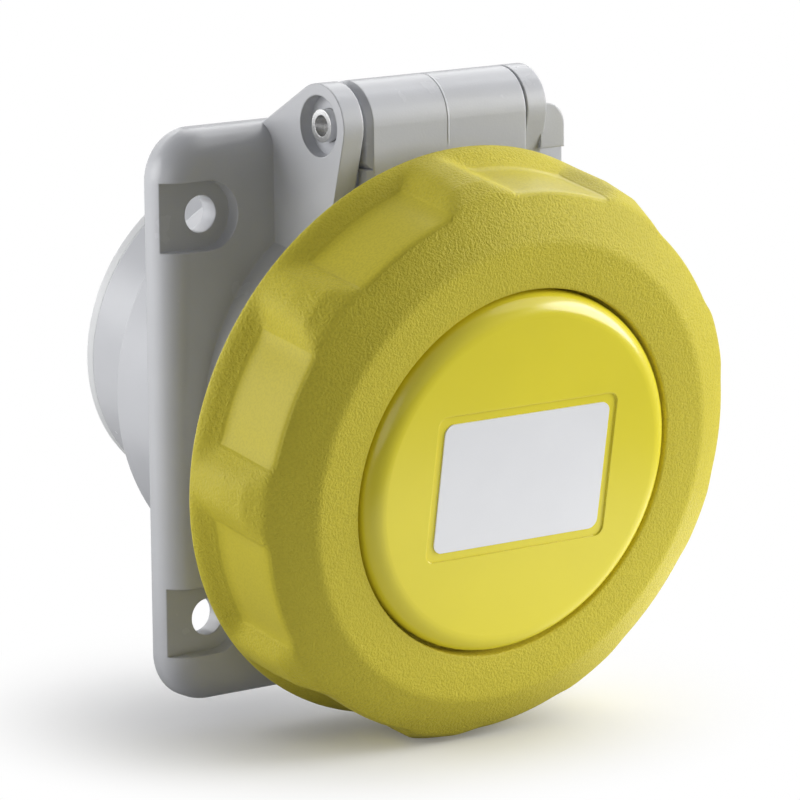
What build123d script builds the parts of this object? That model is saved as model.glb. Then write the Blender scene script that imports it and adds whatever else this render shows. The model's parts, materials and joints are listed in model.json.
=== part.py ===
"""Panel mount power socket with a hinged lid and a bayonet locking ring.

The flange sits on the front of a panel and the socket leans down to the front.
+X is right, -Y is the front and +Z is up. The origin is the centre of the
flange's rear face, and the socket axis passes through it. Lengths are
millimetres, angles are degrees. A "height" is measured out along the socket
axis from the origin: negative heights lie behind the panel.
"""
import os
from math import asin, cos, degrees, radians, sin, sqrt, tan

from build123d import *

# Socket axis
TILT = 10.0

# Flange and its four fixing pads
FLANGE_W = 75.0
FLANGE_H = 85.0
FLANGE_T = 5.7
FLANGE_CORNER = 7.5
FLANGE_EDGE = 4.0
BOLT_SPACING_X = 60.0
BOLT_SPACING_Z = 60.0
BOLT_HOLE_R = 2.75
PAD_R = 5.1
PAD_FLOOR = 3.3
BACK_POCKET_DEPTH = 2.2
BACK_RIM = 3.0
BACK_BOSS_R = 7.6

# Collar in front of the panel, with its two bayonet lugs
COLLAR_R = 31.6
COLLAR_WALL = 3.0
COLLAR_RIM = 30.0
COLLAR_CHAMFER = 0.8
BORE_FLOOR = -7.0
BORE_FLOOR_T = 2.5
KEYWAY_W = 7.0
KEYWAY_DEPTH = 1.6
LUG_PROUD = 4.6
LUG_T = 4.0
LUG_SETBACK = 2.0
LUG_SPAN = 16.0

# Drum and barrel behind the panel, both thinner than the collar
DRUM_STEP = 0.6
DRUM_DEPTH = 18.0
DRUM_WALL = 2.2
DRUM_RIBS = 8
DRUM_RIB_T = 1.6
BARREL_STEP = 5.5
BARREL_WALL = 2.4
BARREL_END = -32.0

# Hinge line above the collar and behind the ring, and the ears that hold it
PIN_RISE = 11.6
PIN_SETBACK = 3.0
EAR_GAP = 30.0
EAR_T = 3.5
EAR_R = 6.2
EAR_ROOT_DROP = 0.9
EAR_FOOT_OUT = 0.6
EAR_FOOT_SINK = 9.6
SINK_R = 4.5
SINK_DEPTH = 2.0
STOP_T = 3.9
STOP_OUT = 5.4
STOP_BACK = 4.5
STOP_DROP = 6.0
STOP_RISE = 0.7
STOP_ROUND = 3.4

# Hinge pin with a drilled end, and the torsion spring round it
PIN_R = 2.4
PIN_BORE_R = 1.55
PIN_BORE_DEPTH = 1.6
PIN_RECESS = 0.5
PIN_BLIND = 2.6
PIN_FIT = 0.05
SPRING_R = 3.7
SPRING_WIRE_R = 0.45
SPRING_FULL_TURNS = 7
SPRING_PITCH = 1.2
SPRING_FIXED_LEG_ANGLE = 210.0
SPRING_MOVING_LEG_ANGLE = 270.0
SPRING_SLOT_W = 1.6
SPRING_ROOM = 0.45
SPRING_ROOM_L = 18.0

# Lid carrier: hinge barrel, arm, tongue under the ring and the plate behind it
HINGE_LEFT_PLAY = 1.0
HINGE_RIGHT_PLAY = 0.4
HINGE_R = 6.2
HINGE_EDGE = 0.8
HINGE_FIT = 0.1
ARM_T = 3.6
TONGUE_FIT = 0.5
TONGUE_T = 2.9
TONGUE_OVER = 6.5
TONGUE_SETBACK = 0.8
TAB_T = 3.0
PLATE_RIM_BITE = 1.0
OPEN_ANGLE = 105.0
SLOT_SPARE_ANGLE = 24.0
PLATE_OVER = 2.4
PLATE_PLAY = 0.7
PLATE_H = 4.1
PLATE_T = 2.0
SEAL_INSIDE = 0.7
SEAL_OUTSIDE = 0.6
SEAL_FIT = 0.1
SEAL_PLAY = 0.2
SEAL_LIP_T = 1.8

# Bayonet ring: bore round the lugs, skirt, front face and the lip behind the disc
BORE_ROOM = 3.2
SKIRT_T = 4.6
RING_PROUD = 4.8
RING_BEND_DROP = 11.6
BULGE_IN = 0.5
BULGE_DROP = 7.0
SHOULDER_IN = 2.1
SHOULDER_DROP = 3.6
FACE_IN = 9.0
FACE_W = 7.0
INNER_BEND_DROP = 5.7
INNER_FACE_DROP = 3.0
INNER_FACE_IN = 4.8
LIP_ROOT_W = 1.0
LIP_W = 2.4
LIP_T = 2.4
LIP_FIT = 0.2
SCOOPS = 9
SCOOP_PHASE = 1.4
SCOOP_DEPTH = 2.5
SCOOP_FLOOR_SPAN = 24.0
SCOOP_SPAN = 35.0
SCOOP_BORDER = 1.3
SCOOP_RAMP = 2.7
RAIL_ROOM = 2.4
RAIL_PLAY = 0.5
RAIL_T = 3.0
RAIL_SETBACK = 0.5
RAIL_SPAN = 24.0
RAIL_BITE = 1.0
RAIL_LEAD = 1.2
RAIL_LEAD_ANGLE = 20.0
LOCK_TURN = 40.0

# Lid disc and its label
DISC_GAP = 0.5
DISC_PROUD = 1.6
DISC_ROUND = 3.2
DISC_WALL = 2.4
DISC_BOSS_FIT = 0.4
DISC_BOSS_WALL = 2.4
LABEL_W = 30.0
LABEL_H = 19.6
LABEL_T = 0.2
LABEL_CORNER = 1.5
LABEL_MARGIN = 1.3
LABEL_SINK = 0.25

# Screws that hold the disc to the plate
DISC_SCREWS = 4
DISC_SCREW_CIRCLE = 17.0
DISC_SCREW_R = 1.2
DISC_SCREW_HEAD_R = 3.0
DISC_SCREW_HEAD_T = 1.9
DISC_SCREW_L = 5.4
SCREW_BOSS_R = 3.0
PILOT_FIT = 0.05
SCREW_FIT = 0.4

# Contact carrier: pillar, body and rear rim in one
PLUG_ROOM = 6.0
PILLAR_SETBACK = 4.0
PILLAR_EDGE = 1.0
CARRIER_FIT = 0.3
CARRIER_RIM_T = 2.0
CARRIER_RIM_EDGE = 0.5
BOSS_IN = 2.7
BOSS_R = 3.0
BOSS_SETBACK = 2.2
CARRIER_SCREW_R = 1.5
CARRIER_SCREW_HEAD_R = 2.9
CARRIER_SCREW_HEAD_T = 1.9
CARRIER_SCREW_L = 14.0

# Contacts: one earth and four others on one circle
CONTACTS = 5
CONTACT_CIRCLE = 13.3
EARTH_ANGLE = -30.0
PIN_BORE_LIVE_R = 2.55
PIN_BORE_EARTH_R = 3.05
SLEEVE_WALL = 0.95
SLEEVE_SETBACK = 0.5
SLEEVE_FLOOR = -6.0
SLOT_W = 0.6
SLOT_L = 16.0
SHANK_R = 4.6
SHANK_L = 13.5
CONTACT_FIT = 0.2
ENTRY_T = 1.5
ENTRY_FIT = 0.4
CLAMP_IN = 5.0
CLAMP_OUT = 6.0
CLAMP_W = 7.4
CLAMP_SETBACK = 2.0
WIRE_R = 1.9
WIRE_IN = 2.4
WIRE_DEPTH = 8.0
CLIP_SETBACK = 3.0
CLIP_L = 5.0
CLIP_T = 0.6
CLIP_FIT = 0.1
CLIP_GAP = 40.0
TERMINAL_SCREW_R = 1.95
TERMINAL_SCREW_OUT = 2.7
TERMINAL_SCREW_L = 7.0
TERMINAL_HEAD_R = 3.0
TERMINAL_HEAD_T = 2.3
TERMINAL_SLOT_W = 0.9

# Gasket between the flange and the panel
GASKET_OUT = 1.6
GASKET_W = 3.8
GASKET_T = 1.4

# Collar, drum and barrel
COLLAR_BORE_R = COLLAR_R - COLLAR_WALL
LUG_R = COLLAR_R + LUG_PROUD
LUG_HIGH = COLLAR_RIM - LUG_SETBACK
LUG_LOW = LUG_HIGH - LUG_T
DRUM_R = COLLAR_R - DRUM_STEP
BARREL_R = COLLAR_R - BARREL_STEP
BARREL_BORE_R = BARREL_R - BARREL_WALL
GASKET_INNER_R = DRUM_R + GASKET_OUT
GASKET_OUTER_R = GASKET_INNER_R + GASKET_W

# Ring, from the lugs and the lid's plate
PLATE_REAR = COLLAR_RIM + PLATE_PLAY
PLATE_FRONT = PLATE_REAR + PLATE_H
PLATE_FLOOR = PLATE_FRONT - PLATE_T
PLATE_R = COLLAR_R + PLATE_OVER
RAIL_HIGH = LUG_LOW - RAIL_PLAY
RAIL_LOW = RAIL_HIGH - RAIL_T
RAIL_R = COLLAR_R + RAIL_ROOM
RING_REAR = RAIL_LOW - RAIL_SETBACK
RING_FRONT = PLATE_FRONT + RING_PROUD
RING_BEND = RING_FRONT - RING_BEND_DROP
RING_BORE_R = LUG_R + BORE_ROOM
RING_R = RING_BORE_R + SKIRT_T
BULGE = RING_FRONT - BULGE_DROP
BULGE_R = RING_R - BULGE_IN
SHOULDER = RING_FRONT - SHOULDER_DROP
SHOULDER_R = RING_R - SHOULDER_IN
FACE_R = RING_R - FACE_IN
MOUTH_R = FACE_R - FACE_W
LIP_R = MOUTH_R - LIP_W
LIP_ROOT_R = MOUTH_R + LIP_ROOT_W
INNER_FACE = RING_FRONT - INNER_FACE_DROP
INNER_FACE_R = RING_BORE_R - INNER_FACE_IN
INNER_BEND = RING_FRONT - INNER_BEND_DROP
SCOOP_FLOOR_R = RING_R - SCOOP_DEPTH
SCOOP_REAR = RING_REAR + SCOOP_BORDER

# Hinge line, ears and boss
PIN_Y = PIN_SETBACK - RING_REAR
PIN_Z = COLLAR_R + PIN_RISE
EAR_INNER_X = EAR_GAP / 2
EAR_OUTER_X = EAR_GAP / 2 + EAR_T
EAR_ROOT_Z = PIN_Z - EAR_ROOT_DROP
EAR_FOOT_Y = PIN_Y - EAR_FOOT_OUT
EAR_FOOT_Z = COLLAR_R - EAR_FOOT_SINK
PIN_LEFT_X = -EAR_OUTER_X + PIN_RECESS
PIN_RIGHT_X = EAR_INNER_X + PIN_BLIND
SPRING_TURNS = SPRING_FULL_TURNS + (SPRING_MOVING_LEG_ANGLE - SPRING_FIXED_LEG_ANGLE + 180) / 360
SPRING_L = SPRING_TURNS * SPRING_PITCH
SPRING_ROOM_R = SPRING_R + SPRING_WIRE_R + SPRING_ROOM

# Lid carrier, seal, disc and label
HINGE_LEFT_X = -EAR_INNER_X + HINGE_LEFT_PLAY
HINGE_RIGHT_X = EAR_INNER_X - HINGE_RIGHT_PLAY
HINGE_L = HINGE_RIGHT_X - HINGE_LEFT_X
HINGE_MID_X = (HINGE_LEFT_X + HINGE_RIGHT_X) / 2
TONGUE_OUTER_R = RING_BORE_R - TONGUE_FIT
TONGUE_INNER_R = TONGUE_OUTER_R - TONGUE_T
TONGUE_REAR = RING_REAR - TONGUE_OVER
TONGUE_FRONT = PLATE_FRONT - TONGUE_SETBACK
SEAL_OUTER_R = COLLAR_R + SEAL_OUTSIDE
SEAL_INNER_R = COLLAR_BORE_R - SEAL_INSIDE
SEAL_REAR = COLLAR_RIM + SEAL_PLAY
RIM_REAR = PLATE_FRONT + LIP_FIT + LIP_T + LIP_FIT
DISC_R = MOUTH_R - DISC_GAP
DISC_FRONT = RING_FRONT + DISC_PROUD
DISC_BOSS_R = LIP_R - DISC_BOSS_FIT
LABEL_FLOOR = DISC_FRONT - LABEL_SINK

# Contact carrier and contacts
PILLAR_R = COLLAR_BORE_R - PLUG_ROOM
PILLAR_FRONT = COLLAR_RIM - PILLAR_SETBACK
PILLAR_SEAT = BORE_FLOOR - BORE_FLOOR_T
CARRIER_END = BARREL_END - CARRIER_RIM_T
BOSS_CIRCLE = BARREL_BORE_R - BOSS_IN
BOSS_END = BARREL_END + BOSS_SETBACK
SLEEVE_FRONT = PILLAR_FRONT - ENTRY_T - SLEEVE_SETBACK
SLOT_END = SLEEVE_FRONT - SLOT_L
SHANK_REAR = SLEEVE_FLOOR - SHANK_L
CLAMP_REAR = BARREL_END + CLAMP_SETBACK
CLIP_HIGH = SLEEVE_FRONT - CLIP_SETBACK
CLIP_LOW = CLIP_HIGH - CLIP_L
CONTACT_STEP = 360 / CONTACTS
CARRIER_BOSS_ANGLES = [EARTH_ANGLE + CONTACT_STEP * (k + 0.5) for k in (0, 2, 4)]
BASE = (Align.CENTER, Align.CENTER, Align.MIN)

# Local z of these frames runs out to the front, and local y runs up
SOCKET = Rot(90 + TILT, 0, 0)
PANEL = Rot(90, 0, 0)
HINGE = Pos(0, PIN_Y, PIN_Z)
REACH = 1.0


def disc(radius, low, high):
    """A round block on the local z axis."""
    return Pos(0, 0, low) * Cylinder(radius, high - low, align=BASE)


def tube(outer, inner, low, high):
    """A straight round wall on the local z axis."""
    return disc(outer, low, high) - disc(inner, low - REACH, high + REACH)


def block(x_size, y_size, low, high):
    """A square block on the local z axis."""
    return Pos(0, 0, low) * Box(x_size, y_size, high - low, align=BASE)


def polar(radius, angle):
    """A point in the plane from a radius and an angle."""
    return (radius * cos(radians(angle)), radius * sin(radians(angle)))


def arc_block(inner, outer, low, high, centre, span):
    """A piece of a round wall that covers an angle."""
    middle = Pos((inner + outer) / 2, (low + high) / 2)
    section = Plane.XZ * middle * Rectangle(outer - inner, high - low)
    return Rot(0, 0, centre - span / 2) * revolve(section, Axis.Z, span)


def across(shape, low_x, high_x):
    """A block whose outline, drawn in Y and Z, runs from one X to another."""
    return Pos(low_x, 0, 0) * extrude(Plane.YZ * shape, high_x - low_x)


def rod(radius, low_x, high_x):
    """A round bar on the hinge line."""
    return across(Pos(PIN_Y, PIN_Z) * Circle(radius), low_x, high_x)


def at_circle(angles, radius):
    """Places on a circle round the local z axis, each turned to face outward."""
    return [Rot(0, 0, angle) * Pos(radius, 0, 0) for angle in angles]


def flange_plate():
    """The flange with its rounded front edge and the four open-sided pads."""
    plate = extrude(RectangleRounded(FLANGE_W, FLANGE_H, FLANGE_CORNER), FLANGE_T)
    plate = fillet(plate.faces().sort_by(Axis.Z)[-1].edges(), FLANGE_EDGE)
    for side in (-1, 1):
        for level in (-1, 1):
            place = Pos(side * BOLT_SPACING_X / 2, level * BOLT_SPACING_Z / 2, 0)
            pad = disc(PAD_R, PAD_FLOOR, FLANGE_T + REACH)
            run = block(4 * PAD_R, 2 * PAD_R, PAD_FLOOR, FLANGE_T + REACH)
            hole = disc(BOLT_HOLE_R, -REACH, FLANGE_T)
            plate -= place * (pad + hole + Pos(2 * side * PAD_R, 0, 0) * run)
    return plate - flange_back_pockets()


def flange_back_pockets():
    """Moulding pockets in the flange's rear face, clear of the pads and the gasket."""
    size = 2 * BACK_RIM
    outline = RectangleRounded(FLANGE_W - size, FLANGE_H - size, FLANGE_CORNER - BACK_RIM)
    outline -= Circle(GASKET_OUTER_R + BACK_RIM / 2)
    for x in (-BOLT_SPACING_X / 2, BOLT_SPACING_X / 2):
        for y in (-BOLT_SPACING_Z / 2, BOLT_SPACING_Z / 2):
            outline -= Pos(x, y) * Circle(BACK_BOSS_R)
            outline -= Pos(2 * x, y) * Rectangle(2 * abs(x), 2 * BACK_BOSS_R)
    return extrude(outline, BACK_POCKET_DEPTH)


def drum_pockets():
    """The crescent behind the flange, opened to the rear between thin ribs."""
    room = disc(DRUM_R - DRUM_WALL, -DRUM_DEPTH - REACH, -FLANGE_T)
    rib = block(2 * DRUM_R, DRUM_RIB_T, -DRUM_DEPTH - 2 * REACH, 0)
    for k in range(DRUM_RIBS // 2):
        room -= Rot(0, 0, k * 360 / DRUM_RIBS) * rib
    room = PANEL * room
    room -= SOCKET * disc(2 * DRUM_R, BORE_FLOOR - BORE_FLOOR_T, COLLAR_RIM)
    return room - SOCKET * disc(BARREL_R, BARREL_END - REACH, COLLAR_RIM)


def ear_outline():
    """One ear: a round head at the pin, running into the flange and the collar."""
    root = -FLANGE_T / 2
    foot = Polygon((root, EAR_ROOT_Z), (root, EAR_FOOT_Z), (EAR_FOOT_Y, EAR_FOOT_Z), align=None)
    head = Pos(PIN_Y, PIN_Z) * Circle(EAR_R)
    return make_hull(foot.edges() + head.edges())


def ears():
    """Both ears, the left one sunk for the pin's rolled end, the right one with its stop."""
    outline = ear_outline()
    pair = across(outline, -EAR_OUTER_X, -EAR_INNER_X) + across(outline, EAR_INNER_X, EAR_OUTER_X)
    pair += stop_boss()
    pair -= rod(SINK_R, -EAR_OUTER_X - REACH, -EAR_OUTER_X + SINK_DEPTH)
    return pair - rod(PIN_R + PIN_FIT, -EAR_OUTER_X, PIN_RIGHT_X)


def stop_boss():
    """The boss on the outside of the right ear, rounded at its top outer edge."""
    outline = Pos(PIN_Y - STOP_OUT, PIN_Z - STOP_DROP) * Rectangle(
        STOP_OUT + STOP_BACK, STOP_DROP + STOP_RISE, align=Align.MIN
    )
    boss = across(outline, EAR_OUTER_X - REACH / 2, EAR_OUTER_X + STOP_T)
    top = boss.edges().filter_by(Axis.Y).group_by(Axis.Z)[-1]
    return fillet(top.sort_by(Axis.X)[-1], STOP_ROUND)


def housing_bore():
    """All that is open inside the housing: plug bore, keyway and rear chamber."""
    room = disc(COLLAR_BORE_R, BORE_FLOOR, COLLAR_RIM + REACH)
    keyway = block(KEYWAY_W, 2 * KEYWAY_DEPTH, BORE_FLOOR, COLLAR_RIM + REACH)
    throat = disc(PILLAR_R + CARRIER_FIT, BARREL_END, BORE_FLOOR + REACH)
    chamber = disc(BARREL_BORE_R, BARREL_END - REACH, BORE_FLOOR - BORE_FLOOR_T)
    return room + Pos(0, -COLLAR_BORE_R, 0) * keyway + throat + chamber


def carrier_bosses():
    """Columns inside the barrel that take the screws of the contact carrier."""
    bosses = Part()
    for place in at_circle(CARRIER_BOSS_ANGLES, BOSS_CIRCLE):
        column = disc(BOSS_R, BOSS_END, BORE_FLOOR - BORE_FLOOR_T / 2)
        pilot = disc(CARRIER_SCREW_R + PILOT_FIT, BOSS_END - REACH, BOSS_END + CARRIER_SCREW_L)
        bosses += place * (column - pilot)
    return bosses & disc(BARREL_BORE_R + BARREL_WALL / 2, BARREL_END, 0)


def grey_housing():
    """Both grey pieces as one body: flange, drum, barrel, collar with lugs, and hinge ears."""
    collar = disc(COLLAR_R, -DRUM_DEPTH, COLLAR_RIM)
    collar = chamfer(collar.faces().sort_by(Axis.Z)[-1].edges(), COLLAR_CHAMFER)
    for centre in (0, 180):
        collar += arc_block(COLLAR_R - COLLAR_WALL / 2, LUG_R, LUG_LOW, LUG_HIGH, centre, LUG_SPAN)
    front = PANEL * block(2 * FLANGE_W, 2 * FLANGE_H, FLANGE_T / 2, 2 * FLANGE_H)
    body = PANEL * flange_plate() + (SOCKET * collar & front)
    body += PANEL * disc(DRUM_R, -DRUM_DEPTH, FLANGE_T / 2)
    body += SOCKET * disc(BARREL_R, BARREL_END, 0)
    body += ears()
    body -= SOCKET * housing_bore()
    body -= drum_pockets()
    body += SOCKET * carrier_bosses()
    return body - PANEL * tube(GASKET_OUTER_R, GASKET_INNER_R, -REACH, GASKET_T)


def flange_housing(housing):
    """The front piece: flange, collar and ears, flat at the panel."""
    return housing & PANEL * block(2 * FLANGE_W, 2 * FLANGE_H, 0, FLANGE_H)


def rear_housing(housing):
    """The rear piece: drum and barrel, which meets the flange at the panel."""
    return housing & PANEL * block(2 * FLANGE_W, 2 * FLANGE_H, -FLANGE_H, 0)


def panel_gasket():
    """The flat seal ring that lies flush in the flange's rear face."""
    return PANEL * tube(GASKET_OUTER_R, GASKET_INNER_R, 0, GASKET_T)


def contact_bore_r(index):
    """The earth contact takes a thicker pin than the others."""
    return PIN_BORE_EARTH_R if index == 0 else PIN_BORE_LIVE_R


def contact_place(index):
    """Where a contact stands on its circle, turned to face outward."""
    return Rot(0, 0, EARTH_ANGLE + index * CONTACT_STEP) * Pos(CONTACT_CIRCLE, 0, 0)


def clamp_block(margin):
    """The square terminal end of a contact, or its pocket with a margin."""
    length = CLAMP_IN + CLAMP_OUT + 2 * margin
    place = Pos((CLAMP_OUT - CLAMP_IN) / 2, 0, 0)
    return place * block(length, CLAMP_W + 2 * margin, CLAMP_REAR, SHANK_REAR + margin)


def contact(index):
    """A slit sleeve for the plug's pin, its shank and its wire clamp."""
    bore = contact_bore_r(index)
    body = disc(bore + SLEEVE_WALL, SLEEVE_FLOOR, SLEEVE_FRONT)
    body += disc(SHANK_R, SHANK_REAR, SLEEVE_FLOOR)
    body += clamp_block(0)
    body -= disc(bore, SLEEVE_FLOOR, SLEEVE_FRONT + REACH)
    for turn in (0, 90):
        body -= Rot(0, 0, turn) * block(4 * bore, SLOT_W, SLOT_END, SLEEVE_FRONT + REACH)
    body -= Pos(-WIRE_IN, 0, 0) * disc(WIRE_R, CLAMP_REAR - REACH, CLAMP_REAR + WIRE_DEPTH)
    hole = disc(TERMINAL_SCREW_R + PILOT_FIT, CLAMP_REAR - REACH, CLAMP_REAR + TERMINAL_SCREW_L)
    body -= Pos(TERMINAL_SCREW_OUT, 0, 0) * hole
    return SOCKET * contact_place(index) * body


def contact_clip(index):
    """The spring clip that closes the slit sleeve on the pin."""
    inner = contact_bore_r(index) + SLEEVE_WALL + CLIP_FIT
    clip = arc_block(inner, inner + CLIP_T, CLIP_LOW, CLIP_HIGH, 0, 360 - CLIP_GAP)
    return SOCKET * contact_place(index) * clip


def terminal_screw(index):
    """The slotted screw that clamps the wire."""
    head_rear = CLAMP_REAR - TERMINAL_HEAD_T
    body = disc(TERMINAL_HEAD_R, head_rear, CLAMP_REAR)
    body = chamfer(body.faces().sort_by(Axis.Z)[0].edges(), TERMINAL_SLOT_W / 3)
    body += disc(TERMINAL_SCREW_R, CLAMP_REAR, CLAMP_REAR + TERMINAL_SCREW_L - PILOT_FIT)
    body -= block(3 * TERMINAL_HEAD_R, TERMINAL_SLOT_W, head_rear - REACH, head_rear + TERMINAL_HEAD_T / 2)
    return SOCKET * contact_place(index) * Pos(TERMINAL_SCREW_OUT, 0, 0) * body


def contact_carrier():
    """The light insert: pillar, body in the barrel and the rear rim, screwed on from the rear."""
    pillar = disc(PILLAR_R, PILLAR_SEAT, PILLAR_FRONT)
    pillar = chamfer(pillar.faces().sort_by(Axis.Z)[-1].edges(), PILLAR_EDGE)
    rim = disc(BARREL_R, CARRIER_END, CARRIER_END + CARRIER_RIM_T)
    rim = fillet(rim.faces().sort_by(Axis.Z)[0].edges(), CARRIER_RIM_EDGE)
    body = pillar + disc(BARREL_BORE_R - CARRIER_FIT, BARREL_END, PILLAR_SEAT) + rim
    for place in at_circle(CARRIER_BOSS_ANGLES, BOSS_CIRCLE):
        flute = disc(BOSS_R + CARRIER_FIT, BOSS_END, PILLAR_FRONT + REACH)
        gap = block(2 * BOSS_R, 2 * (BOSS_R + CARRIER_FIT), BOSS_END, PILLAR_FRONT + REACH)
        hole = disc(CARRIER_SCREW_R + SCREW_FIT, CARRIER_END, BOSS_END)
        sink = disc(CARRIER_SCREW_HEAD_R + SCREW_FIT, CARRIER_END - REACH, CARRIER_END + CARRIER_RIM_T)
        body -= place * (flute + Pos(BOSS_R, 0, 0) * gap + hole + sink)
    for index in range(CONTACTS):
        body -= contact_place(index) * contact_hole(index)
    return SOCKET * body


def contact_hole(index):
    """Room for one contact: pin entry, sleeve and terminal pocket."""
    entry = disc(contact_bore_r(index) + ENTRY_FIT, PILLAR_FRONT - 2 * ENTRY_T, PILLAR_FRONT + REACH)
    bore = disc(SHANK_R + CONTACT_FIT, SHANK_REAR, PILLAR_FRONT - ENTRY_T)
    pocket = clamp_block(CONTACT_FIT)
    mouth = Pos(0, 0, CARRIER_END - CLAMP_REAR) * clamp_block(CONTACT_FIT)
    return entry + bore + pocket + mouth


def carrier_screws():
    """The three screws that hold the contact carrier, as one group."""
    rear = CARRIER_END + CARRIER_RIM_T
    head = disc(CARRIER_SCREW_HEAD_R, rear - CARRIER_SCREW_HEAD_T, rear)
    slot = block(3 * CARRIER_SCREW_HEAD_R, TERMINAL_SLOT_W, rear - 2 * CARRIER_SCREW_HEAD_T, rear - REACH)
    shank = disc(CARRIER_SCREW_R, rear, rear + CARRIER_SCREW_L)
    screw = head + shank - slot
    return Compound([SOCKET * place * screw for place in at_circle(CARRIER_BOSS_ANGLES, BOSS_CIRCLE)])


def hinge_pin():
    """The pin that the lid turns on, drilled at its left end."""
    drilled = rod(PIN_BORE_R, PIN_LEFT_X - REACH, PIN_LEFT_X + PIN_BORE_DEPTH)
    return rod(PIN_R, PIN_LEFT_X, PIN_RIGHT_X) - drilled


def hinge_point(radius, angle):
    """Y and Z of a point round the hinge line: 0 is the front and 90 is up."""
    return (PIN_Y - radius * cos(radians(angle)), PIN_Z + radius * sin(radians(angle)))


def leg_reach(radius):
    """How far a leg runs from the coil to a radius round the hinge line."""
    return sqrt(radius**2 - SPRING_R**2)


def wire(x, start, angle, length):
    """A straight leg of the spring from a point round the hinge line."""
    direction = (0, -cos(radians(angle)), sin(radians(angle)))
    return Plane((x, *start), z_dir=direction) * Cylinder(SPRING_WIRE_R, length, align=BASE)


def hinge_spring():
    """The torsion spring: one leg rests on the flange, the other holds in the barrel."""
    path = Helix(SPRING_PITCH, SPRING_L, SPRING_R)
    section = Plane(path @ 0, z_dir=path % 0) * Circle(SPRING_WIRE_R)
    coil = sweep(section, path)
    turned = Rot(SPRING_MOVING_LEG_ANGLE - 180, 0, 0) * Rot(0, 90, 0) * coil
    spring = HINGE * Pos(-SPRING_L / 2, 0, 0) * turned
    moving = hinge_point(SPRING_R, SPRING_MOVING_LEG_ANGLE - 90)
    spring += wire(-SPRING_L / 2, moving, SPRING_MOVING_LEG_ANGLE, leg_reach(HINGE_R))
    fixed = hinge_point(SPRING_R, SPRING_FIXED_LEG_ANGLE + 90)
    run = (-FLANGE_T - fixed[0]) / -cos(radians(SPRING_FIXED_LEG_ANGLE))
    return spring + wire(SPRING_L / 2, fixed, SPRING_FIXED_LEG_ANGLE, run - 2 * SPRING_WIRE_R)


def spring_slots():
    """Slots in the barrel for both legs, the fixed leg's as long as the lid's swing."""
    crossing = leg_angle(SPRING_FIXED_LEG_ANGLE, 1)
    swing = slot(SPRING_L / 2, crossing - OPEN_ANGLE - SLOT_SPARE_ANGLE, crossing + SLOT_SPARE_ANGLE)
    crossing = leg_angle(SPRING_MOVING_LEG_ANGLE, -1)
    return swing + slot(-SPRING_L / 2, crossing - SLOT_SPARE_ANGLE, crossing + SLOT_SPARE_ANGLE)


def leg_angle(direction, side):
    """Where a leg crosses the middle of the barrel's wall, as an angle round the hinge."""
    radius = (HINGE_R + SPRING_ROOM_R) / 2
    return direction + side * degrees(asin(SPRING_R / radius))


def slot(x, low_angle, high_angle):
    """A slot through the barrel's wall between two angles round the hinge line."""
    middle = (low_angle + high_angle) / 2
    half = radians((high_angle - low_angle) / 2)
    far = 2 * HINGE_R
    outline = Polygon((0, 0), (far, -far * tan(half)), (far, far * tan(half)), align=None)
    wedge = Pos(PIN_Y, PIN_Z) * Rot(0, 0, 180 - middle) * outline
    return across(wedge, x - SPRING_SLOT_W / 2, x + SPRING_SLOT_W / 2)


def lid_carrier():
    """The grey lid frame: hinge barrel, arm, tongue under the ring and plate."""
    body = SOCKET * lid_plate() + arm()
    tongue = tube(TONGUE_OUTER_R, TONGUE_INNER_R, TONGUE_REAR, TONGUE_FRONT)
    reach = TONGUE_OUTER_R - PLATE_R + PLATE_RIM_BITE
    middle = Pos(HINGE_MID_X, TONGUE_OUTER_R, 0)
    tab = middle * block(HINGE_L, 2 * reach, TONGUE_FRONT - TAB_T, TONGUE_FRONT)
    tab &= disc(TONGUE_OUTER_R, PLATE_REAR, PLATE_FRONT)
    tongue &= middle * block(HINGE_L, TONGUE_OUTER_R, 0, PLATE_FRONT)
    body += SOCKET * (tongue + tab)
    body -= rod(PIN_R + HINGE_FIT, -EAR_GAP, EAR_GAP)
    return body - rod(SPRING_ROOM_R, -SPRING_ROOM_L / 2, SPRING_ROOM_L / 2) - spring_slots()


def arm():
    """The hinge barrel and the flat arm that drops from its front."""
    front = PIN_Y - HINGE_R
    low = EAR_FOOT_Z
    cheek = Pos((front + PIN_Y) / 2, PIN_Z - HINGE_R / 2) * Rectangle(HINGE_R, HINGE_R)
    barrel = across(Pos(PIN_Y, PIN_Z) * Circle(HINGE_R) + cheek, HINGE_LEFT_X, HINGE_RIGHT_X)
    barrel = chamfer(barrel.faces().sort_by(Axis.X)[0].edges(), HINGE_EDGE)
    drop = Pos(front + ARM_T / 2, (PIN_Z - HINGE_R + low) / 2) * Rectangle(ARM_T, PIN_Z - HINGE_R - low)
    web = across(drop, HINGE_LEFT_X, HINGE_RIGHT_X)
    web = chamfer(web.faces().sort_by(Axis.X)[0].edges().filter_by(Axis.Z), HINGE_EDGE)
    return barrel + (web - SOCKET * disc(TONGUE_INNER_R, 0, PLATE_FRONT))


def lid_plate():
    """The round plate that closes the socket, grooved for its seal."""
    plate = disc(PLATE_R, PLATE_REAR, PLATE_FRONT)
    plate -= tube(SEAL_OUTER_R + SEAL_FIT, SEAL_INNER_R - SEAL_FIT, PLATE_REAR - REACH, PLATE_FLOOR)
    plate -= disc(SEAL_INNER_R - SEAL_FIT - SEAL_LIP_T, PLATE_REAR - REACH, PLATE_FLOOR)
    for place in disc_screw_places():
        plate -= place * disc(DISC_SCREW_R + SCREW_FIT, PLATE_REAR, PLATE_FRONT + REACH)
    return plate


def disc_screw_places():
    """Where the screws of the lid disc stand."""
    step = 360 / DISC_SCREWS
    return at_circle([step * (k + 0.5) for k in range(DISC_SCREWS)], DISC_SCREW_CIRCLE)


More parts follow.
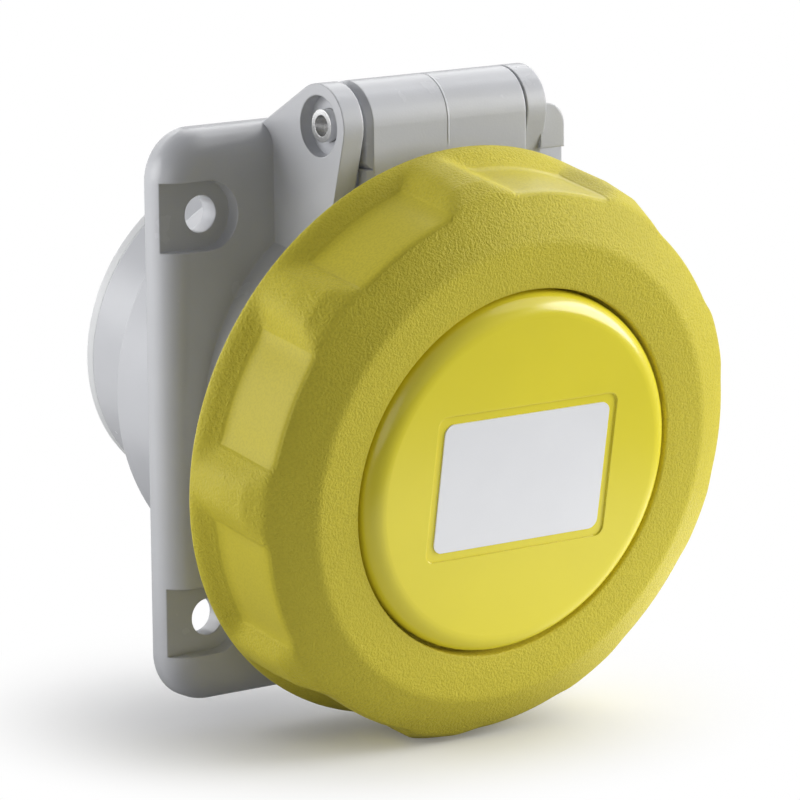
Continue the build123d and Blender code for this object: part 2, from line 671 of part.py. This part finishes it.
def lid_seal():
    """The soft ring that meets the collar's rim."""
    return SOCKET * tube(SEAL_OUTER_R, SEAL_INNER_R, SEAL_REAR, PLATE_FLOOR - SEAL_FIT)


def lid_disc():
    """The glossy disc in the ring's mouth, with a sunk field for the label."""
    face = disc(DISC_R, RIM_REAR, DISC_FRONT)
    face = fillet(face.faces().sort_by(Axis.Z)[-1].edges(), DISC_ROUND)
    face += disc(DISC_BOSS_R, PLATE_FRONT, RIM_REAR)
    face -= disc(DISC_BOSS_R - DISC_BOSS_WALL, PLATE_FRONT - REACH, DISC_FRONT - DISC_WALL)
    for place in disc_screw_places():
        face += place * disc(SCREW_BOSS_R, PLATE_FRONT, DISC_FRONT - DISC_WALL / 2)
        face -= place * disc(DISC_SCREW_R + PILOT_FIT, PLATE_FRONT - REACH, DISC_FRONT - DISC_WALL)
    margin = 2 * LABEL_MARGIN
    field = RectangleRounded(LABEL_W + margin, LABEL_H + margin, LABEL_CORNER)
    face -= Pos(0, 0, LABEL_FLOOR) * extrude(field, 2 * LABEL_SINK)
    return SOCKET * face


def disc_screws():
    """The four screws of the lid disc, as one group."""
    head = disc(DISC_SCREW_HEAD_R, PLATE_FLOOR - DISC_SCREW_HEAD_T, PLATE_FLOOR)
    head -= block(3 * DISC_SCREW_HEAD_R, TERMINAL_SLOT_W, 0, PLATE_FLOOR - REACH)
    screw = head + disc(DISC_SCREW_R, PLATE_FLOOR, PLATE_FLOOR + DISC_SCREW_L)
    return Compound([SOCKET * place * screw for place in disc_screw_places()])


def lid_label():
    """The blank label in the disc's field."""
    sheet = extrude(RectangleRounded(LABEL_W, LABEL_H, LABEL_CORNER), LABEL_T)
    return SOCKET * Pos(0, 0, LABEL_FLOOR) * sheet


def ring_section():
    """Half of the ring's cross-section, radius across and height up."""
    lip_low = PLATE_FRONT + LIP_FIT
    lip_high = lip_low + LIP_T
    outer = ThreePointArc((RING_R, RING_BEND), (BULGE_R, BULGE), (SHOULDER_R, SHOULDER))
    rest = Polyline(
        (SHOULDER_R, SHOULDER), (FACE_R, RING_FRONT), (MOUTH_R, RING_FRONT), (MOUTH_R, lip_high),
        (LIP_R, lip_high), (LIP_R, lip_low), (LIP_ROOT_R, lip_low), (LIP_ROOT_R, INNER_FACE),
        (INNER_FACE_R, INNER_FACE), (RING_BORE_R, INNER_BEND), (RING_BORE_R, RING_REAR),
        (RING_R, RING_REAR), (RING_R, RING_BEND),
    )
    return make_face([outer, rest])


def scoop_cutter():
    """All the finger scoops: a round floor, two end ramps and a rear ramp."""
    half_floor = SCOOP_FLOOR_SPAN / 2
    half = SCOOP_SPAN / 2
    top_r = RING_R + (RING_R - SCOOP_FLOOR_R) / 2
    over = half + (half - half_floor) / 2
    floor = ThreePointArc(
        polar(SCOOP_FLOOR_R, -half_floor), polar(SCOOP_FLOOR_R, 0), polar(SCOOP_FLOOR_R, half_floor)
    )
    outside = ThreePointArc(polar(top_r, over), polar(top_r, 0), polar(top_r, -over))
    ramps = [
        Line(polar(SCOOP_FLOOR_R, side * half_floor), polar(top_r, side * over)) for side in (-1, 1)
    ]
    outline = make_face([floor, outside] + ramps)
    cutter = Part()
    for k in range(SCOOPS):
        turn = Rot(0, 0, SCOOP_PHASE + k * 360 / SCOOPS)
        cutter += turn * Pos(0, 0, RING_REAR) * extrude(outline, RING_FRONT)
    return cutter & scoop_zone()


def scoop_zone():
    """The round zone that the scoops reach, with a slope at its rear."""
    depth = RING_R - SCOOP_FLOOR_R
    high = 2 * RING_FRONT
    zone = Polygon(
        (RING_R + depth, SCOOP_REAR - SCOOP_RAMP), (RING_R - 2 * depth, SCOOP_REAR + 2 * SCOOP_RAMP),
        (RING_R - 2 * depth, high), (RING_R + depth, high), align=None,
    )
    return revolve(Plane.XZ * zone, Axis.Z)


def rail(centre):
    """One inner rail of the ring, with a sloped lead at its leading end."""
    body = arc_block(RAIL_R, RING_BORE_R + RAIL_BITE, RAIL_LOW, RAIL_HIGH, centre, RAIL_SPAN)
    lead = Rot(0, 0, centre - RAIL_SPAN / 2) * Pos(RAIL_R, 0, RAIL_HIGH) * Rot(RAIL_LEAD_ANGLE, 0, 0)
    return body - lead * Box(RING_R, 8 * RAIL_LEAD, 2 * RAIL_LEAD)


def grip_ring():
    """Both yellow ring pieces as one body, with nine finger scoops and two inner rails."""
    ring = revolve(Plane.XZ * ring_section(), Axis.Z) - scoop_cutter()
    for centre in (LOCK_TURN, LOCK_TURN + 180):
        ring += rail(centre)
    return ring


def bayonet_ring(ring):
    """The ring's front: face, chamfer and mouth, down to the top of its bore."""
    return SOCKET * (ring & disc(2 * RING_R, INNER_BEND, RING_FRONT))


def ring_skirt(ring):
    """The ring's outer wall round the bore, with the rails."""
    return SOCKET * (ring & disc(2 * RING_R, RING_REAR, INNER_BEND))


def build():
    """Every piece of the socket under its own name."""
    housing = grey_housing()
    ring = grip_ring()
    pieces = {
        "flange_housing": flange_housing(housing),
        "rear_housing": rear_housing(housing),
        "panel_gasket": panel_gasket(),
        "contact_carrier": contact_carrier(),
        "carrier_screws": carrier_screws(),
        "hinge_pin": hinge_pin(),
        "hinge_spring": hinge_spring(),
        "lid_carrier": lid_carrier(),
        "lid_seal": lid_seal(),
        "lid_disc": lid_disc(),
        "disc_screws": disc_screws(),
        "lid_label": lid_label(),
        "bayonet_ring": bayonet_ring(ring),
        "ring_skirt": ring_skirt(ring),
    }
    for index in range(CONTACTS):
        name = "earth" if index == 0 else f"line_{index}"
        pieces[f"contact_{name}"] = contact(index)
        pieces[f"contact_clip_{name}"] = contact_clip(index)
        pieces[f"terminal_screw_{name}"] = terminal_screw(index)
    return pieces


if __name__ == "__main__":
    os.makedirs("parts", exist_ok=True)
    for name, piece in build().items():
        export_step(piece, f"parts/{name}.step")
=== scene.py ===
"""Looks of the panel mount power socket: finishes, smooth ring, light and camera."""

import json
from math import cos, pi, radians, sin, tan

import bmesh
import bpy
from mathutils import Matrix, Quaternion, Vector


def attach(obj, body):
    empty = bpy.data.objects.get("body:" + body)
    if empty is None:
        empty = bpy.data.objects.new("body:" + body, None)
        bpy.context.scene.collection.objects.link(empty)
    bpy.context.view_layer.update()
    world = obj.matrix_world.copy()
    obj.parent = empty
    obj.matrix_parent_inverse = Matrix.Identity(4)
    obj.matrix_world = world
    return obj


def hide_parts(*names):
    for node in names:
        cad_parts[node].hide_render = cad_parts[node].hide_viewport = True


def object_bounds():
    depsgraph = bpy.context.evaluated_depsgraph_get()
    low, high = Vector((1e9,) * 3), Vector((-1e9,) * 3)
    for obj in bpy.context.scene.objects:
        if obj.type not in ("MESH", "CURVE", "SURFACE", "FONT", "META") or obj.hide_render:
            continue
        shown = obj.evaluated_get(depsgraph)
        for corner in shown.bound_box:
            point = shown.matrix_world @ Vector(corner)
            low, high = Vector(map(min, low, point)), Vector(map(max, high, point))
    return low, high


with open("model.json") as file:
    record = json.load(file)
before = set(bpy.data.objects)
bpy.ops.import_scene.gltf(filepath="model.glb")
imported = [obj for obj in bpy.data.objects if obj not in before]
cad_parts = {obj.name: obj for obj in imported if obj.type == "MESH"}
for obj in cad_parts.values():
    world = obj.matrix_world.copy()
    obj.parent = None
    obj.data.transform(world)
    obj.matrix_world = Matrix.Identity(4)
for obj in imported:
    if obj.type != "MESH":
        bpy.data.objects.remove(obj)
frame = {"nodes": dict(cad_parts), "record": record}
cad_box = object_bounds()

MM = 0.001
TILT = radians(10)

# Bayonet ring, in millimetres and degrees, as the solid has it
RING_R = 44.0
RING_REAR = 20.0
RING_BEND = 28.0
SHOULDER = (41.9, 36.0)
SIDE_BEND = (43.5, 32.6)
FACE = (35.0, 39.6)
MOUTH_R = 28.0
LIP = (25.6, 35.0, 37.4)
LID_ROOM_R = 29.0
LID_ROOM_TOP = (34.6, 36.6)
RING_BORE_R = 39.4
RING_BORE_TOP = 33.9
OUTSIDE_R = 40.4
SCOOPS = 9
SCOOP_PHASE = 1.4
SCOOP_FLOOR_R = 41.5
SCOOP_FLOOR_HALF = 12.0
SCOOP_HALF = 17.5
SCOOP_REAR = 24.0
SCOOP_REAR_SLOPE = 0.95
SCOOP_FOOT = 2.2
SCOOP_RIDGE = 1.6
POLISH_DEPTH = 0.12
RING_STEPS = 540

# Inner rails of the ring
RAIL_CENTRES = (40.0, 220.0)
RAIL_SPAN = 24.0
RAIL_INNER_R = 34.0
RAIL_OUTER_R = 40.4
RAIL_LOW = 20.5
RAIL_HIGH = 23.5
RAIL_LEAD = 1.28
RAIL_LEAD_ANGLE = radians(20)
RAIL_STEPS = 24

# Parting line of the hinge barrel: its place along it, and the heights where it starts, in millimetres
PARTING_X = 0.3
PARTING_FROM = (39.0, 41.0)

# Moulded grain of the ring, in grains to the metre
FINE_GRAIN = 2900.0
COARSE_GRAIN = 1500.0

# Room as light, and as the object's gloss mirrors it; the camera sees it at 1
ROOM_LIGHT = 0.03
ROOM_GLOSS = 0.6

# Floor: distances from the origin, in metres, over which each of its parts comes in or goes out
WHITE_FROM = (0.048, 0.082)
NEAR_FROM = (0.05, 0.07)
FAR_FROM = (0.11, 0.15)
FLOOR_SHADE = 0.95
FLOOR_LIGHT = 0.3

# Light that the floor throws up, by the side of the object that it lies on
FRONT_BOUNCE = 0.98
RIGHT_BOUNCE = 1.74
BACK_BOUNCE = 1.1


class Signal:
    """A number, colour or vector on a node's output, so that sums can be written out."""

    def __init__(self, tree, socket):
        self.tree = tree
        self.socket = socket

    def math(self, operation, *values):
        return self.tree.add("ShaderNodeMath", {"operation": operation}, enumerate(values))

    def __add__(self, other):
        return self.math("ADD", self, other)

    def __sub__(self, other):
        return self.math("SUBTRACT", self, other)

    def __rsub__(self, other):
        return self.math("SUBTRACT", other, self)

    def __mul__(self, other):
        return self.math("MULTIPLY", self, other)

    def __truediv__(self, other):
        return self.math("DIVIDE", self, other)

    def __rtruediv__(self, other):
        return self.math("DIVIDE", other, self)

    __radd__ = __add__
    __rmul__ = __mul__


class Tree:
    """Adds nodes to a shader tree or a shape tree."""

    def __init__(self, nodes_of):
        self.nodes_of = nodes_of

    def add(self, kind, settings=(), sockets=(), output=0):
        """One node: its settings first, then the values or links of its sockets."""
        node = self.nodes_of.nodes.new(kind)
        for name, value in dict(settings).items():
            if name == "stops":
                set_stops(node.color_ramp, value)
            else:
                setattr(node, name, value)
        for key, value in dict(sockets).items():
            self.feed(node.inputs[key], value)
        return Signal(self, node.outputs[output]) if node.outputs else node

    def feed(self, socket, value):
        if isinstance(value, Signal):
            self.nodes_of.links.new(value.socket, socket)
        else:
            socket.default_value = value

    def mix(self, factor, first, second):
        """A colour between two colours."""
        sockets = {0: factor, 6: first, 7: second}
        return self.add("ShaderNodeMix", {"data_type": "RGBA"}, sockets, 2)

    def noise(self, place, scale, detail=2.0, roughness=0.5):
        sockets = {"Vector": place, "Scale": scale, "Detail": detail, "Roughness": roughness}
        return self.add("ShaderNodeTexNoise", {}, sockets)

    def ramp(self, value, low, high):
        """0 under the low value, 1 over the high value, smooth between."""
        settings = {"interpolation_type": "SMOOTHSTEP"}
        sockets = {"Value": value, "From Min": low, "From Max": high}
        return self.add("ShaderNodeMapRange", settings, sockets)

    def bump(self, height, depth, strength=1.0, normal=None):
        sockets = {"Height": height, "Distance": depth, "Strength": strength}
        if normal is not None:
            sockets["Normal"] = normal
        return self.add("ShaderNodeBump", {}, sockets)


def set_stops(ramp, stops):
    while len(ramp.elements) < len(stops):
        ramp.elements.new(0.5)
    for element, (position, colour) in zip(ramp.elements, stops):
        element.position = position
        element.color = colour


def finish(name, colours, roughness, normal, **even):
    """A finish from functions that make its colour, roughness and normal."""
    material = bpy.data.materials.new(name)
    material.use_nodes = True
    tree = Tree(material.node_tree)
    surface = material.node_tree.nodes["Principled BSDF"]
    place = tree.add("ShaderNodeTexCoord", output=3)
    tree.feed(surface.inputs["Base Color"], colours(tree, place))
    tree.feed(surface.inputs["Roughness"], roughness(tree, place))
    tree.feed(surface.inputs["Normal"], normal(tree, place))
    for socket, value in even.items():
        surface.inputs[socket.replace("_", " ")].default_value = value
    return material


def tint(level, colour):
    """A colour made lighter or darker."""
    return tuple(level * c for c in colour[:3]) + (1.0,)


def drift(colour, scale=60.0, amount=0.06):
    """A colour with soft cloudy changes, as moulded plastic has."""
    def paint(tree, place):
        cloud = tree.ramp(tree.noise(place, scale, 3.0), 0.3, 0.7)
        return tree.mix(cloud, tint(1 - amount, colour), tint(1 + amount, colour))
    return paint


def sheen(level, amount=0.06, scale=180.0):
    """Roughness with small even changes."""
    def paint(tree, place):
        return level - amount / 2 + amount * tree.noise(place, scale, 3.0)
    return paint


def grain(size_mm, depth_mm, edge_mm=0.25, strength=1.0):
    """Fine moulded grain over softly rounded edges."""
    def paint(tree, place):
        soft = tree.add("ShaderNodeBevel", {"samples": 6}, {"Radius": edge_mm * MM})
        height = tree.noise(place, 1 / (size_mm * MM), 2.0)
        return tree.bump(height, depth_mm * MM, strength, soft)
    return paint


def grey_normal(tree, place):
    """Satin grain, with the mould's parting line along the hinge barrel."""
    parts = tree.add("ShaderNodeSeparateXYZ", {}, {0: place}).socket.node
    across, high = Signal(tree, parts.outputs["X"]), Signal(tree, parts.outputs["Z"])
    off = (across - PARTING_X * MM).math("ABSOLUTE", across - PARTING_X * MM)
    start, full = PARTING_FROM
    line = tree.ramp(off, 0.25 * MM, 0.05 * MM) * tree.ramp(high, start * MM, full * MM)
    return tree.bump(line, 0.12 * MM, 1.0, grain(0.35, 0.012, 0.35)(tree, place))


def ring_colour(tree, place):
    """Yellow, with painted shade that makes it a little darker in the pits of the grain."""
    # painted shade: the low spots of the grain's noise get a darker yellow, as shade falls in the pits
    pit_shade = tree.ramp(tree.noise(place, FINE_GRAIN, 2.0), 0.35, 0.6)
    cloud = drift(YELLOW, 45.0, 0.03)(tree, place)
    return tree.mix(pit_shade, tint(0.92, YELLOW), cloud)


def polished(tree):
    """1 on the polished scoop floors, 0 elsewhere."""
    return tree.add("ShaderNodeAttribute", {"attribute_name": "polish"}, output=2)


def ring_roughness(tree, place):
    return 0.42 - 0.10 * polished(tree) + 0.08 * (tree.noise(place, 900.0) - 0.5)


def ring_normal(tree, place):
    """Spark-eroded grain, left out on the polished scoop floors."""
    fine = tree.noise(place, FINE_GRAIN, 2.0, 0.6)
    coarse = tree.noise(place, COARSE_GRAIN, 1.0)
    height = (0.7 * fine + 0.3 * coarse) * (1 - polished(tree))
    return tree.bump(height, 0.25 * MM, 1.0)


YELLOW = (0.66, 0.57, 0.06, 1.0)
GLOSS_YELLOW = (0.86, 0.75, 0.04, 1.0)
GREY = (0.575, 0.585, 0.615, 1.0)
LIGHT_GREY = (0.72, 0.73, 0.74, 1.0)
LABEL_WHITE = (0.89, 0.90, 0.93, 1.0)
BLACK = (0.025, 0.025, 0.026, 1.0)
BRASS = (0.75, 0.52, 0.20, 1.0)
STEEL = (0.62, 0.62, 0.62, 1.0)
ZINC = (0.55, 0.56, 0.55, 1.0)

finishes = {
    "yellow_textured": finish("spark_grained_yellow", ring_colour, ring_roughness, ring_normal,
                              Specular_IOR_Level=0.12),
    "yellow_gloss": finish("polished_yellow", drift(GLOSS_YELLOW, 40.0, 0.02), sheen(0.2, 0.05),
                           grain(2.5, 0.006, 0.2), Coat_Weight=0.15, Coat_Roughness=0.08),
    "grey_moulding": finish("grey_moulding", drift(GREY, 50.0, 0.03), sheen(0.26, 0.08), grey_normal),
    "light_moulding": finish("light_moulding", drift(LIGHT_GREY, 50.0, 0.03), sheen(0.4, 0.08),
                             grain(0.35, 0.03, 0.25)),
    "label_sheet": finish("label_sheet", drift(LABEL_WHITE, 90.0, 0.01), sheen(0.38, 0.04),
                          grain(0.2, 0.004, 0.05)),
    "soft_seal": finish("soft_seal", drift(BLACK, 120.0, 0.15), sheen(0.75, 0.1), grain(0.15, 0.03, 0.3)),
    "contact_brass": finish("contact_brass", drift(BRASS, 200.0, 0.06), sheen(0.28, 0.1),
                            grain(0.2, 0.01, 0.1), Metallic=1.0),
    "bright_steel": finish("bright_steel", drift(STEEL, 200.0, 0.05), sheen(0.26, 0.1),
                           grain(0.2, 0.01, 0.12), Metallic=1.0),
    "zinc_steel": finish("zinc_steel", drift(ZINC, 300.0, 0.08), sheen(0.36, 0.12),
                         grain(0.2, 0.015, 0.1), Metallic=1.0),
}


def ring_outline():
    """The ring's cross-section as points (radius, height), corners rounded."""
    corners = [
        ((RING_BORE_R, RING_REAR), 0.5), ((RING_R, RING_REAR), 0.7), ((RING_R, RING_BEND), 0),
        (SIDE_BEND, 0), (SHOULDER, 0.9), (FACE, 0.8), ((MOUTH_R, FACE[1]), 0.45),
        ((MOUTH_R, LIP[2]), 0), ((LIP[0], LIP[2]), 0.2), ((LIP[0], LIP[1]), 0.2),
        ((LID_ROOM_R, LIP[1]), 0), ((LID_ROOM_R, LID_ROOM_TOP[1]), 0), (LID_ROOM_TOP, 0),
        ((RING_BORE_R, RING_BORE_TOP), 0),
    ]
    return subdivide(round_corners(corners))


def round_corners(corners):
    """Corner points with a radius of rounding, turned into a closed run of points."""
    points = []
    for k, (corner, radius) in enumerate(corners):
        here = Vector(corner)
        back = Vector(corners[k - 1][0]) - here
        ahead = Vector(corners[(k + 1) % len(corners)][0]) - here
        if not radius:
            points.append(here)
            continue
        first = here + back.normalized() * radius
        last = here + ahead.normalized() * radius
        for step in range(5):
            t = step / 4
            points.append(first.lerp(here, t).lerp(here.lerp(last, t), t))
    return points


def subdivide(points):
    """The same run in steps of about 0.55 mm on the outside of the ring, and longer ones inside."""
    out = []
    for k, here in enumerate(points):
        ahead = points[(k + 1) % len(points)]
        outside = min(here.x, ahead.x) > 40 and max(here.x, ahead.x) > 41
        pieces = max(1, round((ahead - here).length / (0.55 if outside else 2.5)))
        out += [here.lerp(ahead, j / pieces) for j in range(pieces)]
    return out


def shape_tree(name, sizes):
    """An empty shape tree with named inputs, and their values as signals."""
    group = bpy.data.node_groups.new(name, "GeometryNodeTree")
    group.interface.new_socket("Geometry", in_out="INPUT", socket_type="NodeSocketGeometry")
    for size in sizes:
        group.interface.new_socket(size, in_out="INPUT", socket_type="NodeSocketFloat")
    group.interface.new_socket("Geometry", in_out="OUTPUT", socket_type="NodeSocketGeometry")
    tree = Tree(group)
    source = group.nodes.new("NodeGroupInput")
    return tree, {s.name: Signal(tree, s) for s in source.outputs if s.name}


def ring_tree(count, sizes):
    """Turns the cross-section round the axis and presses the finger scoops into it."""
    tree, given = shape_tree("finger_scoop_ring", sizes)
    grid = tree.add("GeometryNodeMeshGrid", {}, {"Vertices X": count + 1, "Vertices Y": RING_STEPS + 1})
    index = tree.add("GeometryNodeInputIndex")
    column = (index / (RING_STEPS + 1)).math("FLOOR", index / (RING_STEPS + 1))
    row = index - column * (RING_STEPS + 1)
    where = tree.add("GeometryNodeInputPosition")
    source = {"Geometry": given["Geometry"], "Value": where, "Index": column.math("MODULO", column, count)}
    sample = tree.add("GeometryNodeSampleIndex", {"data_type": "FLOAT_VECTOR", "domain": "POINT"}, source)
    parts = tree.add("ShaderNodeSeparateXYZ", {}, {0: sample}).socket.node
    radius, height = Signal(tree, parts.outputs["X"]), Signal(tree, parts.outputs["Z"])
    angle = row * (2 * pi / RING_STEPS)
    step = 2 * pi / given["Scoops"]
    turned = angle - given["Phase"] + step * 0.5
    off_centre = turned.math("FLOORED_MODULO", turned, step) - step * 0.5
    off_centre = off_centre.math("ABSOLUTE", off_centre)
    run = given["Half span"] - given["Half floor"]
    rise = given["Outer radius"] + 0.3 * MM - given["Floor radius"]
    ramp = (off_centre - given["Half floor"]) / run * rise
    side = given["Floor radius"] + ramp.math("SMOOTH_MAX", ramp, 0.0, given["Foot softness"])
    back = given["Floor radius"] + (given["Rear ramp"] - height) * given["Rear slope"]
    limit = side.math("SMOOTH_MAX", side, back, given["Foot softness"])
    pressed = radius.math("SMOOTH_MIN", radius, limit, given["Ridge softness"])
    outside = radius.math("GREATER_THAN", radius, OUTSIDE_R * MM)
    new_radius = radius + (pressed - radius) * outside
    floor = off_centre.math("LESS_THAN", off_centre, given["Half floor"] + 0.004)
    front = height.math("GREATER_THAN", height, given["Rear ramp"])
    deep = radius.math("GREATER_THAN", radius - new_radius, POLISH_DEPTH * MM)
    polish = floor * front * deep
    point = tree.add("ShaderNodeCombineXYZ", {}, {
        "X": new_radius * angle.math("COSINE", angle),
        "Y": new_radius * angle.math("SINE", angle), "Z": height})
    moved = tree.add("GeometryNodeSetPosition", {}, {"Geometry": grid, "Position": point})
    kept = tree.add("GeometryNodeStoreNamedAttribute", {"data_type": "FLOAT", "domain": "POINT"},
                    {"Geometry": moved, "Name": "polish", "Value": polish})
    closed = tree.add("GeometryNodeMergeByDistance", {}, {"Geometry": kept, "Distance": 0.002 * MM})
    leaned = tree.add("GeometryNodeTransform", {}, {"Geometry": closed, "Rotation": (pi / 2 + TILT, 0, 0)})
    smooth = tree.add("GeometryNodeSetShadeSmooth", {}, {"Geometry": leaned})
    real = tree.add("GeometryNodeRealizeInstances", {}, {"Geometry": smooth})
    finished = {"Geometry": real, "Material": finishes["yellow_textured"]}
    done = tree.add("GeometryNodeSetMaterial", {}, finished)
    tree.add("NodeGroupOutput", {}, {0: done})
    return tree.nodes_of


def grown(source, group, values):
    """The plain mesh that a shape tree makes from an object."""
    modifier = source.modifiers.new("shape", "NODES")
    modifier.node_group = group
    for item in group.interface.items_tree:
        if item.in_out == "INPUT" and item.name in values:
            modifier[item.identifier] = float(values[item.name])
    graph = bpy.context.evaluated_depsgraph_get()
    mesh = bpy.data.meshes.new_from_object(source.evaluated_get(graph))
    source.modifiers.remove(modifier)
    return mesh


def put(name, mesh):
    """A new object at the origin."""
    piece = bpy.data.objects.new(name, mesh)
    bpy.context.scene.collection.objects.link(piece)
    return piece


def rail_row(centre, step):
    """The four corners of a rail's cross-section at one step along its arc."""
    along = radians(RAIL_SPAN) * step / RAIL_STEPS
    angle = radians(centre - RAIL_SPAN / 2) + along
    row = []
    for radius, level in ((RAIL_INNER_R, 0), (RAIL_OUTER_R, 0), (RAIL_OUTER_R, 1), (RAIL_INNER_R, 1)):
        lead = RAIL_HIGH - RAIL_LEAD + radius * sin(along) * tan(RAIL_LEAD_ANGLE)
        height = min(RAIL_HIGH, lead) if level else RAIL_LOW
        row.append(Vector((radius * cos(angle), radius * sin(angle), height)) * MM)
    return row


def add_rails(mesh):
    """Adds the inner rails to the ring's mesh and turns all faces to the outside."""
    work = bmesh.new()
    work.from_mesh(mesh)
    bmesh.ops.remove_doubles(work, verts=work.verts, dist=0.000001)
    lean = Matrix.Rotation(pi / 2 + TILT, 4, "X")
    for centre in RAIL_CENTRES:
        rows = [[work.verts.new(lean @ p) for p in rail_row(centre, k)] for k in range(RAIL_STEPS + 1)]
        for here, ahead in zip(rows, rows[1:]):
            for k in range(4):
                work.faces.new((here[k], here[k - 1], ahead[k - 1], ahead[k]))
        work.faces.new(rows[0])
        work.faces.new(rows[-1])
    bmesh.ops.recalc_face_normals(work, faces=work.faces)
    work.to_mesh(mesh)
    work.free()


def make_ring():
    """The turning ring with its smooth finger scoops."""
    outline = ring_outline()
    sketch = bpy.data.meshes.new("ring_outline")
    sketch.from_pydata([(p.x * MM, 0, p.y * MM) for p in outline], [], [])
    holder = put("ring_outline", sketch)
    sizes = {
        "Scoops": SCOOPS, "Phase": radians(SCOOP_PHASE), "Half span": radians(SCOOP_HALF),
        "Half floor": radians(SCOOP_FLOOR_HALF), "Floor radius": SCOOP_FLOOR_R * MM,
        "Outer radius": RING_R * MM, "Rear ramp": SCOOP_REAR * MM, "Rear slope": SCOOP_REAR_SLOPE,
        "Foot softness": SCOOP_FOOT * MM, "Ridge softness": SCOOP_RIDGE * MM,
    }
    mesh = grown(holder, ring_tree(len(outline), sizes), sizes)
    bpy.data.objects.remove(holder)
    add_rails(mesh)
    mesh.materials.clear()
    mesh.materials.append(finishes["yellow_textured"])
    mesh.polygons.foreach_set("material_index", [0] * len(mesh.polygons))
    return put("grip_ring", mesh)


def dress_nodes():
    """Gives every carried-over solid the finish of its material slot."""
    slots = {part["node"]: part["material_slot"] for part in frame["record"]["subparts"]}
    for name, node in frame["nodes"].items():
        node.data.materials.clear()
        node.data.materials.append(finishes[slots[name]])


def softbox(name, azimuth, rise, distance, size, level):
    """A soft round lamp that faces the object; level 1 shows a facing colour as it is."""
    a, e = radians(azimuth), radians(rise)
    place = Vector((sin(a) * cos(e), -cos(a) * cos(e), sin(e))) * distance
    lamp = bpy.data.lights.new(name, "AREA")
    lamp.shape = "DISK"
    lamp.size = size
    lamp.energy = level * (pi * distance) ** 2
    holder = bpy.data.objects.new(name, lamp)
    holder.location = place
    holder.rotation_mode = "QUATERNION"
    holder.rotation_quaternion = (-place).to_track_quat("-Z", "Y")
    bpy.context.scene.collection.objects.link(holder)


def white_room():
    """Even white surroundings: white to the camera, softer in gloss and faint as light."""
    world = bpy.data.worlds.new("white_room")
    bpy.context.scene.world = world
    world.use_nodes = True
    tree = Tree(world.node_tree)
    path = tree.add("ShaderNodeLightPath").socket.node
    seen = Signal(tree, path.outputs["Is Camera Ray"])
    mirror = Signal(tree, path.outputs["Is Glossy Ray"])
    level = seen.math("MAXIMUM", seen, mirror * ROOM_GLOSS)
    background = world.node_tree.nodes["Background"]
    tree.feed(background.inputs["Strength"], ROOM_LIGHT + (1 - ROOM_LIGHT) * level)
    background.inputs["Color"].default_value = (1.0, 1.0, 1.0, 1.0)


def lobe(along, flat):
    """1 towards one side, falling to 0 square to it and behind."""
    facing = along / flat
    ahead = facing.math("MAXIMUM", facing, 0.0)
    return ahead * ahead


def white_floor():
    """A pale floor that keeps the object's shadow, and throws light up from where it is lit."""
    low = cad_box[0][2] - 0.0001
    mesh = bpy.data.meshes.new("floor")
    size = 3.0
    mesh.from_pydata([(-size, -size, low), (size, -size, low), (size, size, low), (-size, size, low)],
                     [], [(0, 1, 2, 3)])
    floor = put("floor", mesh)
    material = bpy.data.materials.new("pale_floor")
    material.use_nodes = True
    tree = Tree(material.node_tree)
    place = tree.add("ShaderNodeTexCoord", output=3)
    flat = tree.add("ShaderNodeVectorMath", {"operation": "LENGTH"}, {0: place}, 1)
    path = tree.add("ShaderNodeLightPath").socket.node
    seen = Signal(tree, path.outputs["Is Camera Ray"])
    parts = tree.add("ShaderNodeSeparateXYZ", {}, {0: place}).socket.node
    x, y = Signal(tree, parts.outputs["X"]), Signal(tree, parts.outputs["Y"])
    far = tree.ramp(flat, *FAR_FROM)
    near = tree.ramp(flat, *NEAR_FROM) * (1 - far)
    bounce = near * (FRONT_BOUNCE * lobe(0.0 - y, flat) + RIGHT_BOUNCE * lobe(x, flat))
    bounce = bounce + far * BACK_BOUNCE * lobe((y - x) * cos(pi / 4), flat)
    white = tree.ramp(flat, *WHITE_FROM)
    pale = seen * FLOOR_SHADE * (1 - white) + (1 - seen) * FLOOR_LIGHT
    matt = tree.add("ShaderNodeBsdfDiffuse", {}, {"Color": pale})
    glow = tree.add("ShaderNodeEmission", {}, {"Strength": seen * white + (1 - seen) * bounce})
    both = tree.add("ShaderNodeAddShader", {}, {0: matt, 1: glow})
    tree.feed(material.node_tree.nodes["Material Output"].inputs["Surface"], both)
    floor.data.materials.append(material)


def camera():
    """The photograph's viewpoint, worked out from its circles and edges."""
    azimuth, rise, roll = radians(-36.75), radians(10.6), radians(-0.58)
    back = Vector((sin(azimuth) * cos(rise), -cos(azimuth) * cos(rise), sin(rise)))
    holder = bpy.data.objects.new("camera", bpy.data.cameras.new("camera"))
    holder.data.lens = 231.75
    holder.data.sensor_width = 36.0
    holder.data.clip_start = 0.05
    holder.rotation_mode = "QUATERNION"
    holder.rotation_quaternion = (-back).to_track_quat("-Z", "Y") @ Quaternion((0, 0, 1), roll)
    holder.location = (-0.45002, -0.61383, 0.14078)
    bpy.context.scene.collection.objects.link(holder)
    bpy.context.scene.camera = holder


dress_nodes()
ring = make_ring()
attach(ring, "ring")
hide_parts("bayonet_ring", "ring_skirt")

white_room()
white_floor()
softbox("key_softbox", 60, 12, 1.2, 0.9, 1.0)
softbox("high_softbox", 60, 45, 1.2, 1.2, 0.31)
softbox("side_softbox", 120, 45, 1.2, 1.2, 0.5)
softbox("back_softbox", 180, 12, 1.2, 1.3, 0.48)
softbox("left_softbox", 240, 12, 1.2, 1.0, 0.7)
softbox("fill_softbox", 300, 12, 1.2, 0.8, 0.1)
camera()
bpy.context.scene.view_settings.view_transform = "Standard"
